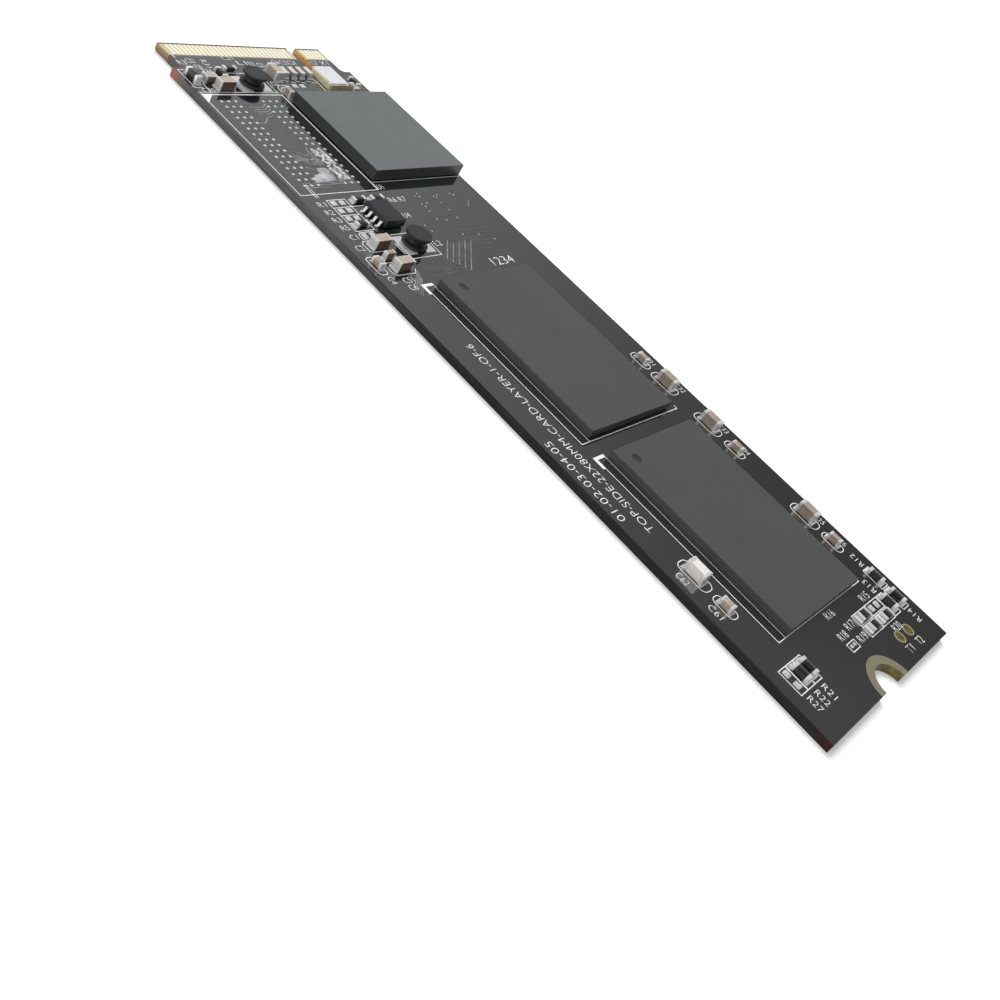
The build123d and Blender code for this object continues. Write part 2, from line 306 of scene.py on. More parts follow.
class Finish(Nodes):
    """A node material for one surface of the card."""

    def __init__(self, name, color, roughness, metallic=0.0, ior=1.5, coat=0.0):
        self.material = bpy.data.materials.new(name)
        self.material.use_nodes = True
        super().__init__(self.material.node_tree)
        self.shader = self.nodes["Principled BSDF"]
        self.set("Base Color", (*color, 1))
        self.set("Roughness", roughness)
        self.set("Metallic", metallic)
        self.set("IOR", ior)
        self.set("Coat Weight", coat)
        self.coordinates = self.node("ShaderNodeTexCoord").outputs["Object"]

    def set(self, socket, value):
        self.shader.inputs[socket].default_value = value

    def place(self, axis):
        """Where a point lies along an axis of the card."""
        return self.part(self.coordinates, axis)

    def facing(self, axis):
        """How far a surface faces along an axis."""
        return self.part(self.node("ShaderNodeNewGeometry").outputs["Normal"], axis)

    def noise(self, size, detail=4.0, stretch=(1, 1, 1)):
        """Noise whose grain is size long, drawn out along an axis by its stretch."""
        mapping = self.node("ShaderNodeMapping")
        mapping.inputs["Scale"].default_value = [1 / (size * part) for part in stretch]
        self.link(self.coordinates, mapping.inputs["Vector"])
        noise = self.node("ShaderNodeTexNoise")
        noise.inputs["Scale"].default_value = 1
        noise.inputs["Detail"].default_value = detail
        self.link(mapping.outputs["Vector"], noise.inputs["Vector"])
        return noise.outputs["Fac"]

    def mix(self, factor, first, second):
        """Mixes two colours, each a tuple or a socket."""
        node = self.node("ShaderNodeMix", data_type="RGBA")
        self.link(factor, node.inputs["Factor"])
        for socket, color in ((node.inputs[6], first), (node.inputs[7], second)):
            if isinstance(color, tuple):
                socket.default_value = (*color, 1)
            else:
                self.link(color, socket)
        return node.outputs[2]

    def paint(self, color):
        self.link(color, self.shader.inputs["Base Color"])

    def polish(self, roughness):
        self.link(roughness, self.shader.inputs["Roughness"])

    def bump(self, height, depth):
        node = self.node("ShaderNodeBump")
        node.inputs["Strength"].default_value = 1
        node.inputs["Distance"].default_value = depth
        self.link(height, node.inputs["Height"])
        self.link(node.outputs["Normal"], self.shader.inputs["Normal"])


def solder_mask():
    """Dark glossy lacquer, slightly uneven, that mirrors the parts on it."""
    finish = Finish("solder_mask", (0.012, 0.012, 0.012), 0.06, ior=3.2)
    cloudy = finish.fade(finish.noise(7 * MM, 3), 0.35, 0.65)
    black = finish.mix(cloudy, (0.011, 0.0112, 0.0108), (0.0155, 0.0155, 0.015))
    # Bluer towards the connector end, fully from X = -20 mm on: a painted blue sheen of reflected light.
    painted_blue_sheen = finish.fade(finish.place("X"), -20 * MM, -2 * MM, 1, 0)
    finish.paint(finish.mix(painted_blue_sheen, black, (0.0095, 0.0135, 0.0155)))
    finish.polish(finish.fade(finish.noise(3 * MM, 4), 0.35, 0.65, 0.045, 0.085))
    finish.bump(finish.noise(0.3 * MM, 3), 0.0003 * MM)
    return finish.material


def cut_laminate():
    """Cut side of the board: glass and resin layers, paler towards the connector end as painted light, with
    brown and red bands near the connector end and a dark red tint at the screw end.
    """
    finish = Finish("cut_laminate", (0.03, 0.03, 0.03), 0.8, ior=1.25)
    layers = finish.fade(finish.noise(0.05 * MM, 2, (60, 60, 1)), 0.4, 0.6)
    # Paler towards the connector end, darker from the middle on to the screw end: painted light and shade.
    along = finish.fade(finish.place("X"), -16 * MM, 0)
    pale = finish.mix(layers, (0.08, 0.079, 0.081), (0.13, 0.128, 0.13))
    dark = finish.mix(layers, (0.015, 0.0142, 0.0138), (0.026, 0.025, 0.0245))
    tone = finish.mix(along, pale, dark)
    bands = (
        (-34.8, -32.8, 1, 0, (0.19, 0.16, 0.13)),
        (-35.6, -34.7, 1, 0, (0.42, 0.15, 0.115)),
        (-36.15, -35.8, 1, 0, (0.15, 0.12, 0.115)),
        (38.5, 40, 0, 0.7, (0.06, 0.014, 0.012)),
    )
    for start, stop, before, after, color in bands:
        tone = finish.mix(finish.fade(finish.place("X"), start * MM, stop * MM, before, after), tone, color)
    finish.paint(tone)
    finish.bump(finish.noise(0.06 * MM, 3, (8, 8, 1)), 0.004 * MM)
    return finish.material


def bare_laminate():
    """Amber resin of the tongue's sides, key notch and bevel."""
    finish = Finish("bare_laminate", (0.5, 0.28, 0.08), 0.4)
    # Darker towards the bottom of the sides and of the notch, paler at the top: painted shade.
    height = finish.fade(finish.place("Z"), 0.15 * MM, 0.75 * MM)
    stained = finish.fade(finish.noise(0.35 * MM, 4, (1, 1, 0.4)), 0.4, 0.7, 0, 0.8)
    side = finish.mix(height, (0.17, 0.12, 0.075), (0.42, 0.27, 0.12))
    notch = finish.mix(height, (0.34, 0.17, 0.05), (0.8, 0.46, 0.1))
    amber = finish.mix(finish.fade(finish.place("Y"), 0, 2 * MM), side, notch)
    finish.paint(finish.mix(stained, amber, (0.2, 0.12, 0.06)))
    finish.bump(finish.noise(0.06 * MM, 3, (8, 8, 1)), 0.004 * MM)
    return finish.material


def contact_ground():
    """Pale resin weave between and around the contacts."""
    finish = Finish("contact_ground", (0.6, 0.5, 0.28), 0.4)
    weave = finish.fade(finish.noise(0.15 * MM, 2), 0.3, 0.7)
    finish.paint(finish.mix(weave, (0.52, 0.45, 0.25), (0.64, 0.57, 0.35)))
    finish.bump(finish.noise(0.1 * MM, 2), 0.001 * MM)
    return finish.material


def plated(name, dark, light, low, high, grain=0.3, metallic=1.0, dark_front_end=False):
    """Metal with slightly uneven colour and polish, darker over the contacts' front ends where asked."""
    finish = Finish(name, dark, low, metallic=metallic)
    patches = finish.fade(finish.noise(grain * MM, 4), 0.3, 0.7)
    color = finish.mix(patches, dark, light)
    if dark_front_end:
        # Darker over the contacts' front ends, in front of X = -39.7 mm.
        front_end = finish.fade(finish.place("X"), -39.74 * MM, -39.66 * MM, 1, 0)
        color = finish.mix(front_end, color, (0.09, 0.08, 0.055))
    finish.paint(color)
    finish.polish(finish.fade(finish.noise(grain * 0.5 * MM, 4), 0.3, 0.7, low, high))
    finish.bump(finish.noise(grain * 0.4 * MM, 3), 0.0007 * MM)
    return finish.material


def ring_plating():
    """Dull plating of the screw ring, with painted shade down its inner wall, which is darker and yellower.
    """
    finish = Finish("ring_plating", (0.3, 0.27, 0.2), 0.42, metallic=0.7)
    on_face = finish.fade(finish.math("ABSOLUTE", finish.facing("Z"), 0), 0.5, 0.9)
    patches = finish.fade(finish.noise(0.5 * MM, 4), 0.3, 0.7)
    face = finish.mix(patches, (0.43, 0.395, 0.265), (0.54, 0.505, 0.35))
    # Faces that don't look up or down get a darker, yellower colour: painted shade.
    wall = finish.mix(patches, (0.07, 0.055, 0.018), (0.22, 0.18, 0.06))
    finish.paint(finish.mix(on_face, wall, face))
    finish.polish(finish.fade(finish.noise(0.25 * MM, 4), 0.3, 0.7, 0.36, 0.48))
    finish.bump(finish.noise(0.15 * MM, 3), 0.0008 * MM)
    return finish.material


def moulded(name, dark, light, roughness, grain=0.035):
    """Moulded resin with a fine even grain."""
    finish = Finish(name, dark, roughness)
    patches = finish.fade(finish.noise(5 * MM, 3), 0.3, 0.7)
    finish.paint(finish.mix(patches, dark, light))
    finish.polish(finish.fade(finish.noise(1.5 * MM, 3), 0.3, 0.7, roughness - 0.04, roughness + 0.04))
    finish.bump(finish.noise(grain * MM, 3), 0.001 * MM)
    return finish.material


def fired_ceramic(name, dark, light, roughness, painted_shade_on_plus_x=True):
    """Fired ceramic: mottled, slightly glossy, with painted shade in brown on the faces that look towards the
    screw end.
    """
    finish = Finish(name, dark, roughness, coat=0.3)
    finish.set("Coat Roughness", 0.2)
    mottle = finish.fade(finish.noise(0.18 * MM, 5), 0.3, 0.7)
    color = finish.mix(mottle, dark, light)
    if painted_shade_on_plus_x:
        # Faces that look towards +X, the screw end, are painted browner and darker: painted shade.
        brown = finish.mix(mottle, (0.12, 0.07, 0.045), (0.22, 0.14, 0.095))
        color = finish.mix(finish.fade(finish.facing("X"), 0.3, 0.8), color, brown)
    finish.paint(color)
    finish.bump(finish.noise(0.06 * MM, 4), 0.0012 * MM)
    return finish.material


def ink():
    finish = Finish("white_ink", (0.8, 0.8, 0.8), 0.55)
    patches = finish.fade(finish.noise(0.15 * MM, 4), 0.3, 0.6)
    finish.paint(finish.mix(patches, (0.82, 0.82, 0.82), (0.95, 0.95, 0.95)))
    finish.bump(finish.noise(0.06 * MM, 3), 0.0006 * MM)
    return finish.material


def covered_copper(name, dark, light, ior, grain=0.9):
    """Copper under the lacquer, which shows as a slightly raised lighter line."""
    finish = Finish(name, dark, 0.1, ior=ior)
    patches = finish.fade(finish.noise(grain * MM, 3), 0.35, 0.65)
    finish.paint(finish.mix(patches, dark, light))
    finish.bump(finish.noise(0.2 * MM, 3), 0.0008 * MM)
    return finish.material


def lacquered_wire():
    finish = Finish("lacquered_wire", (0.01, 0.008, 0.007), 0.3, coat=0.4)
    bands = finish.fade(finish.noise(0.2 * MM, 3), 0.35, 0.65)
    finish.paint(finish.mix(bands, (0.006, 0.005, 0.005), (0.016, 0.012, 0.01)))
    return finish.material


MASK = solder_mask()
LAMINATE = cut_laminate()
AMBER = bare_laminate()
GROUND = contact_ground()
TRACK = covered_copper("covered_track", (0.14, 0.145, 0.15), (0.3, 0.31, 0.32), 2.6)
FAINT_TRACK = covered_copper("faint_track", (0.03, 0.032, 0.033), (0.08, 0.083, 0.086), 3.0)
# The two copper areas are painted pale and bright: copper under the lacquer with a painted reflection of
# glare on it.
POUR_WITH_GLARE = covered_copper("copper_area_painted_glare", (0.1, 0.105, 0.11), (0.85, 0.88, 0.9), 2.0, 0.45)
PALE_POUR_WITH_GLARE = covered_copper("thin_lacquer_painted_glare", (0.26, 0.275, 0.29), (0.6, 0.62, 0.64), 2.4, 1.2)
CONTACT = plated("contact_gold", (0.98, 0.94, 0.76), (1.0, 0.98, 0.84), 0.3, 0.42, 1.2, 0.25, True)
RING = ring_plating()
TEST_GOLD = plated("test_gold", (0.16, 0.11, 0.04), (0.3, 0.24, 0.08), 0.22, 0.34, 0.8, 0.6)
TEST_RIM = plated("test_rim_gold", (0.5, 0.47, 0.24), (0.66, 0.63, 0.36), 0.25, 0.35, 0.6, 0.5)
SOLDER = plated("solder", (0.69, 0.715, 0.72), (0.86, 0.87, 0.88), 0.26, 0.4, 0.5, 0.45)
PAD_TIN = plated("pad_tin", (0.66, 0.68, 0.7), (0.83, 0.85, 0.87), 0.3, 0.42, 0.4, 0.4)
TIN = plated("tin", (0.7, 0.725, 0.715), (0.86, 0.88, 0.87), 0.32, 0.46, 0.4, 0.35)
SHADED_TIN = plated("shaded_tin", (0.22, 0.25, 0.25), (0.36, 0.39, 0.39), 0.32, 0.46, 0.3, 0.4)
LEG_TIN = plated("leg_tin", (0.88, 0.88, 0.88), (0.96, 0.96, 0.96), 0.18, 0.28, 0.4, 0.5)
FLASH_RESIN = moulded("flash_resin", (0.063, 0.0648, 0.0655), (0.07, 0.072, 0.0726), 0.5)
CONTROLLER_RESIN = moulded("controller_resin", (0.122, 0.134, 0.135), (0.131, 0.143, 0.145), 0.45)
# Darker than the chip resins: the flash chips' substrate, and painted shade up the controller's sides.
SUBSTRATE_AND_SHADE = moulded("substrate_and_painted_shade", (0.038, 0.044, 0.043), (0.045, 0.051, 0.05), 0.45)
MARK_RESIN = moulded("polished_mark", (0.026, 0.027, 0.027), (0.032, 0.033, 0.033), 0.5)
REGULATOR = moulded("regulator_resin", (0.011, 0.014, 0.016), (0.02, 0.023, 0.025), 0.45)
FERRITE = moulded("ferrite", (0.006, 0.007, 0.008), (0.028, 0.029, 0.031), 0.45, 0.06)
CERAMIC = fired_ceramic("capacitor_ceramic", (0.3, 0.235, 0.18), (0.46, 0.38, 0.31), 0.35)
PALE_CERAMIC = fired_ceramic("pale_ceramic", (0.38, 0.31, 0.25), (0.56, 0.48, 0.41), 0.35)
ROW_CERAMIC = fired_ceramic("row_ceramic", (0.62, 0.5, 0.45), (0.8, 0.68, 0.62), 0.35)
# Capacitor 20's near-white copy of the ceramic: a painted highlight where its near side is brightly lit.
LIT_CERAMIC = fired_ceramic("ceramic_painted_highlight", (0.8, 0.74, 0.68), (0.92, 0.88, 0.83), 0.3)
BLACK_GLAZE = fired_ceramic("black_glaze", (0.007, 0.008, 0.009), (0.014, 0.016, 0.018), 0.3, False)
TRAY_GOLD = plated("tray_gold", (0.75, 0.68, 0.42), (0.98, 0.93, 0.65), 0.3, 0.44, 0.25, 0.25)
LID = plated("lid_metal", (0.87, 0.88, 0.93), (0.95, 0.96, 0.99), 0.3, 0.4, 0.7, 0.45)
RIM_RESIN = moulded("rim_resin", (0.05, 0.045, 0.035), (0.11, 0.1, 0.08), 0.5)
WIRE = lacquered_wire()
INK = ink()


# The circuit board and the metal that lies flush with it


def flush_metal():
    """The contacts and the screw ring keep their solids and get their finish."""
    finishes = {"top_contacts": CONTACT, "bottom_contacts": CONTACT, "screw_hole_ring": RING}
    for node, material in finishes.items():
        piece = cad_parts[node]
        piece.data.materials.clear()
        piece.data.materials.append(material)


def board():
    """Lacquered faces, cut sides, amber tongue sides and the pale ground of the contacts."""
    piece = dressed_copy("circuit_board", MASK, 0)
    for material in (LAMINATE, AMBER, GROUND):
        piece.data.materials.append(material)
    open_mesh(piece)
    choose_faces(piece, lambda middle, normal: normal.z < -0.9 and middle.z < TOUCH)
    bpy.ops.transform.translate(value=(0, 0, PRINT_HEIGHT))
    bpy.ops.mesh.select_all(action="SELECT")
    lacquer_start = board_low.x + CONTACT_STRIP
    bpy.ops.mesh.bisect(plane_co=(lacquer_start, 0, 0), plane_no=(1, 0, 0))
    close_mesh()
    tongue_end = board_low.x + TONGUE_REACH
    give_finish(piece, 1, lambda middle, normal: abs(normal.z) < 0.9)
    give_finish(
        piece,
        2,
        lambda middle, normal: abs(normal.z) < 0.9
        and (middle.x < lacquer_start or middle.x < tongue_end and abs(middle.y) < 9 * MM),
    )
    sunk = (CONTACT_SINK, board_top - CONTACT_SINK)
    give_finish(
        piece,
        3,
        lambda middle, normal: abs(normal.z) > 0.9
        and middle.x < lacquer_start
        and min(abs(middle.z - level) for level in sunk) < TOUCH,
    )
    smooth(piece)
    settle(piece, "lacquered_board", "board", "circuit_board")


def front_rim():
    """Bare resin edge in front of the contacts, at both sides of the key notch."""
    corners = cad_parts["circuit_board"].data.vertices
    ends = sorted({round(vertex.co.y, 6) for vertex in corners if vertex.co.x < board_low.x + TOUCH})
    rims = []
    for near, far in zip(ends[::2], ends[1::2]):
        low = (board_low.x + 0.07 * MM, near, board_top - 0.12 * MM)
        high = (board_low.x + 0.19 * MM, far, board_top)
        rims.append(block(low, high, RIM_RESIN, 0.02 * MM))
    piece = join("front_resin_rim", rims)
    smooth(piece)
    settle(piece, "front_resin_rim", "board")


# Chips


def ball_grid(node):
    """Solder balls, pressed flat where they meet the board and the chip."""
    boxes = solid_boxes(node)
    low, high = boxes[0]
    radius = (high.x - low.x) / 2
    half_height = (high.z - low.z) / 2
    bpy.ops.mesh.primitive_uv_sphere_add(segments=12, ring_count=8, radius=radius)
    ball = bpy.context.object
    ball.data.materials.append(SOLDER)
    for side in (1, -1):
        open_mesh(ball, chosen="SELECT")
        bpy.ops.mesh.bisect(
            plane_co=UP * side * half_height, plane_no=UP * side, use_fill=True, clear_outer=True
        )
        close_mesh()
    bpy.ops.object.shade_smooth()
    piece = copies_at(ball, [(low + high) / 2 for low, high in boxes])
    settle(piece, node.replace("balls", "round_balls"), "solder", node)


def moulded_chip(node, name, resin, lower_band_height):
    """A moulded cap on a darker lower band, cut flush at its sides, with its first-corner mark. On the flash
    chips the band is their thin substrate; on the controller it is 0.95 mm high and is painted shade on its
    sides.
    """
    low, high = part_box(node)
    seam = low[2] + lower_band_height
    piece = dressed_copy(node, resin, 0.014 * MM)
    for material in (SUBSTRATE_AND_SHADE, MARK_RESIN):
        piece.data.materials.append(material)
    open_mesh(piece, chosen="SELECT")
    bpy.ops.mesh.bisect(plane_co=UP * seam, plane_no=UP)
    close_mesh()
    give_finish(piece, 1, lambda middle, normal: middle.z < seam)
    open_mesh(piece)
    choose_faces(piece, lambda middle, normal: middle.z < low[2] + 0.03 * MM)
    bpy.ops.transform.translate(value=(0, 0, (board_top - low[2]) * CHIP_GAP_COVERED))
    close_mesh()
    mark_low = high[2] - 0.2 * MM
    mark_high = high[2] - 0.01 * MM
    give_finish(piece, 2, lambda middle, normal: mark_low < middle.z < mark_high and normal.z > 0.9)
    smooth(piece)
    settle(piece, name, "chip_plastic", node)


# Capacitors, resistors and the bead


def end_length(node, across):
    """How long the metal ends of a chip part are, from the steps in its solid."""
    axis = 1 if across else 0
    places = sorted(vertex.co[axis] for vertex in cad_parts[node].data.vertices)
    return next(place - places[0] for place in places if place > places[0] + 0.05 * MM)


def chip_part(node, name, body_material, slot, end_edge, band=1.0):
    """A chip part: body, two metal ends and the solder at each end."""
    low, high = box_corners(node)
    across = high.y - low.y > high.x - low.x
    size = high - low
    length, width = (size.y, size.x) if across else (size.x, size.y)
    height = size.z
    half_length = length / 2
    half_width = width / 2
    end = end_length(node, across) * (band if across else 1)
    step = 0.02 * MM
    pieces = [
        block(
            (-half_length + end / 2, -half_width + step, step),
            (half_length - end / 2, half_width - step, height - step),
            body_material,
            0.03 * MM,
        )
    ]
    for side in (-1, 1):
        near, far = sorted((side * half_length, side * (half_length - end)))
        pieces.append(block((near, -half_width, 0), (far, half_width, height), TIN, end_edge, 3))
        near, far = sorted((side * (half_length + SOLDER_REACH), side * (half_length - end / 2)))
        solder_height = min(SOLDER_REACH, height * 0.6)
        wide = half_width + 0.03 * MM
        solder = block((near, -wide, 0), (far, wide, solder_height), SOLDER)
        open_mesh(solder, "EDGE")
        outside = side * (half_length + SOLDER_REACH)
        choose_edges(
            solder,
            lambda a, b: abs(a.x - outside) + abs(b.x - outside) < TOUCH and min(a.z, b.z) > TOUCH,
        )
        bpy.ops.mesh.bevel(offset=solder_height * 0.92, segments=5, profile=0.15, affect="EDGES")
        close_mesh()
        pieces.append(solder)
    piece = join(node, pieces)
    smooth(piece)
    piece.rotation_euler.z = math.radians(90) if across else 0
    piece.location = ((low.x + high.x) / 2, (low.y + high.y) / 2, low.z)
    fix_place(piece)
    # The row capacitors' metal ends get a darker tin on their near (-Y) faces: painted shade.
    if body_material is ROW_CERAMIC:
        piece.data.materials.append(SHADED_TIN)
        give_finish(piece, len(piece.data.materials) - 1, lambda middle, normal: normal.y < -0.2)
    settle(piece, name, slot, node)


# Capacitors that get another ceramic than the usual brown one, by their numbers. Capacitor 20's near-white
# ceramic is a painted highlight, a lit copy of the ceramic.
SPECIAL_CERAMICS = (
    (ROW_CERAMIC, (1, 2, 3, 4)),
    (PALE_CERAMIC, (5, 8, 9, 10, 12, 21)),
    (LIT_CERAMIC, (20,)),
)


def chip_parts():
    for node in sorted(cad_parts):
        if node.startswith("capacitor"):
            number = int(node[-2:])
            ceramic = next((kind for kind, numbers in SPECIAL_CERAMICS if number in numbers), CERAMIC)
            chip_part(node, f"fired_{node}", ceramic, "capacitor_ceramic", 0.05 * MM, CROSSWISE_BAND)
        if node.startswith("resistor") or node == "ferrite_bead":
            chip_part(node, f"glazed_{node}", BLACK_GLAZE, "resistor_body", 0.035 * MM)


# Power coils, regulator and crystal


def coil(number):
    """A drum core turned from one cylinder, with its wire in touching turns."""
    node = f"coil_core_{number}"
    low, high = box_corners(node)
    wound_low, wound_high = box_corners(f"coil_winding_{number}")
    middle = (low + high) / 2
    radius = (high.x - low.x) / 2
    flange = wound_low.z - low.z
    wound_height = wound_high.z - wound_low.z
    bpy.ops.mesh.primitive_cylinder_add(
        vertices=72, radius=radius, depth=flange, location=(middle.x, middle.y, low.z + flange / 2)
    )
    core = bpy.context.object
    fix_place(core)
    core.data.materials.append(FERRITE)
    open_mesh(core)
    choose_faces(core, lambda place, normal: normal.z > 0.9)
    bpy.ops.mesh.inset(thickness=radius - COIL_POST_RADIUS)
    bpy.ops.mesh.extrude_region_move(TRANSFORM_OT_translate={"value": (0, 0, wound_height)})
    bpy.ops.mesh.extrude_region_move(TRANSFORM_OT_translate={"value": (0, 0, 0)})
    grow = radius / COIL_POST_RADIUS
    bpy.ops.transform.resize(value=(grow, grow, 1))
    bpy.ops.mesh.extrude_region_move(TRANSFORM_OT_translate={"value": (0, 0, high.z - wound_high.z)})
    close_mesh()
    modify(core, "BEVEL", width=0.05 * MM, segments=3, limit_method="ANGLE", angle_limit=math.radians(50))
    smooth(core)
    settle(core, f"coil_drum_{number}", "ferrite", node)

    wire_radius = wound_height / COIL_TURNS / 2
    wound_radius = (wound_high.x - wound_low.x) / 2
    bpy.ops.mesh.primitive_circle_add(
        vertices=10,
        radius=wire_radius,
        location=(wound_radius - wire_radius, 0, wire_radius),
        rotation=(math.radians(90), 0, 0),
    )
    wire = bpy.context.object
    fix_place(wire)
    modify(
        wire,
        "SCREW",
        angle=math.radians(360 * (COIL_TURNS - 1)),
        steps=40 * (COIL_TURNS - 1),
        render_steps=40 * (COIL_TURNS - 1),
        screw_offset=2 * wire_radius * (COIL_TURNS - 1),
        use_normal_calculate=True,
    )
    wire.data.materials.clear()
    wire.data.materials.append(WIRE)
    open_mesh(wire, "EDGE")
    bpy.ops.mesh.select_non_manifold()
    bpy.ops.mesh.edge_face_add()
    bpy.ops.mesh.select_all(action="SELECT")
    bpy.ops.mesh.normals_make_consistent(inside=False)
    close_mesh()
    bpy.ops.mesh.primitive_cylinder_add(
        vertices=48,
        radius=wound_radius - wire_radius,
        depth=wound_height,
        location=(0, 0, wound_height / 2),
    )
    inner_turns = bpy.context.object
    fix_place(inner_turns)
    inner_turns.data.materials.append(WIRE)
    winding = join("winding", [wire, inner_turns])
    winding.location = (middle.x, middle.y, wound_low.z)
    fix_place(winding)
    smooth(winding, 50)
    settle(winding, f"coil_wire_{number}", "winding_wire", f"coil_winding_{number}")


def eased_piece(node, name, slot, material, edge, segments=2, angle=35):
    """A piece that keeps the form of its node, with eased edges."""
    piece = dressed_copy(node, material, edge, segments)
    smooth(piece, angle)
    settle(piece, name, slot, node)


def regulator():
    eased_piece("regulator_case", "regulator_body", "chip_plastic", REGULATOR, 0.03 * MM)
    eased_piece("regulator_legs", "regulator_bent_legs", "tinned_metal", LEG_TIN, 0.03 * MM, 3, 60)


def crystal():
    eased_piece("crystal_base", "crystal_tray", "gold_ceramic", TRAY_GOLD, 0.04 * MM)
    low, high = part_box("crystal_lid")
    lid = plate(low, high, LID, 0.18 * MM, 0.04 * MM)
    smooth(lid)
    settle(lid, "crystal_cover", "lid_metal", "crystal_lid")


# Bare pads


def square_pads(node, name):
    boxes = solid_boxes(node)
    pads = [plate(low, high, SOLDER, 0.06 * MM, 0.012 * MM) for low, high in boxes]
    piece = join(name, pads)
    smooth(piece)
    settle(piece, name, "solder", node)


def round_pads(node, name, material, slot, sides, dished):
    """Round pads with an eased rim. Test pads have a slightly dished middle."""
    boxes = solid_boxes(node)
    low, high = boxes[0]
    radius = (high.x - low.x) / 2 * (1 if dished else CACHE_PAD_SHARE)
    depth = high.z - low.z
    bpy.ops.mesh.primitive_cylinder_add(vertices=sides, radius=radius, depth=depth)
    pad = bpy.context.object
    pad.data.materials.append(material)
    open_mesh(pad)
    choose_faces(pad, lambda middle, normal: normal.z > 0.9)
    bpy.ops.mesh.inset(thickness=radius * 0.18)
    if dished:
        pad.data.materials.append(TEST_GOLD)
        pad.active_material_index = 1
        bpy.ops.object.material_slot_assign()
    first, ledge, second = (-0.5, 0.3, -0.2) if dished else (0.3, 0.4, 0.15)
    bpy.ops.transform.translate(value=(0, 0, depth * first))
    bpy.ops.mesh.inset(thickness=radius * ledge)
    bpy.ops.transform.translate(value=(0, 0, depth * second))
    close_mesh()
    bpy.ops.object.shade_smooth()
    piece = copies_at(pad, [(low + high) / 2 for low, high in boxes])
    smooth(piece, 50)
    settle(piece, name, slot, node)


# Printing and copper tracks on the board. Their places and sizes are in millimetres


def stroke(start, end, width, layer, material, side=1):
    """A flat straight line on the upper or under side of the board."""
    start = Vector((*start, 0)) * MM
    end = Vector((*end, 0)) * MM
    run = end - start
    level = board_top + layer * LAYER if side > 0 else PRINT_HEIGHT
    bpy.ops.mesh.primitive_plane_add(
        size=1,
        location=(start + end) / 2 + UP * level,
        rotation=(0 if side > 0 else math.pi, 0, math.atan2(run.y, run.x)),
    )
    line = bpy.context.object
    line.scale = (run.length + width, width, 1)
    line.data.materials.append(material)
    return line


def outline(left, right, near, far, layer, corner=0.0):
    """A printed frame, with round corners where a corner size is given."""
    level = board_top + layer * LAYER
    bpy.ops.mesh.primitive_plane_add(size=1, location=((left + right) / 2 * MM, (near + far) / 2 * MM, level))
    box = bpy.context.object
    box.scale = ((right - left) * MM + PRINT_LINE, (far - near) * MM + PRINT_LINE, 1)
    fix_place(box)
    box.data.materials.append(INK)
    open_mesh(box, chosen="SELECT")
    if corner:
        bpy.ops.mesh.bevel(offset=corner * MM, segments=5, affect="VERTICES")
    bpy.ops.mesh.select_all(action="SELECT")
    bpy.ops.mesh.inset(thickness=PRINT_LINE)
    bpy.ops.mesh.delete(type="FACE")
    close_mesh()
    return box


def disc(x, y, radius, layer, material):
    place = (x * MM, y * MM, board_top + layer * LAYER)
    bpy.ops.mesh.primitive_circle_add(vertices=14, radius=radius * MM, fill_type="NGON", location=place)
    dot = bpy.context.object
    dot.data.materials.append(material)
    return dot


def patch(points, layer, material):
    """A filled area with corners at the given places."""
    bpy.ops.mesh.primitive_circle_add(vertices=len(points), radius=MM, fill_type="NGON")
    area = bpy.context.object
    level = board_top + layer * LAYER
    for vertex, (x, y) in zip(area.data.vertices, points):
        vertex.co = (x * MM, y * MM, level)
    area.data.materials.append(material)
    open_mesh(area, chosen="SELECT")
    bpy.ops.mesh.normals_make_consistent(inside=False)
    close_mesh()
    if area.data.polygons[0].normal.z < 0:
        area.data.flip_normals()
    return area


def lettering(text, length, height, x, y, turn=0, side=1):
    """Letters of an exact length and height, centred on a place and turned about it."""
    bpy.ops.object.text_add()
    letters = bpy.context.object
    letters.data.body = text
    letters.data.size = MM
    letters.data.resolution_u = 3
    letters.data.offset = -0.012 * MM
    bpy.ops.object.convert(target="MESH")
    letters = bpy.context.object
    low, high = extent(letters)
    for vertex in letters.data.vertices:
        vertex.co -= (low + high) / 2
    letters.scale = (length * MM / (high.x - low.x), height * MM / (high.y - low.y), 1)
    letters.rotation_euler = (0 if side > 0 else math.pi, 0, math.radians(turn))
    letters.location = (x * MM, y * MM, board_top + 7 * LAYER if side > 0 else PRINT_HEIGHT)
    letters.data.materials.clear()
    letters.data.materials.append(INK)
    return letters


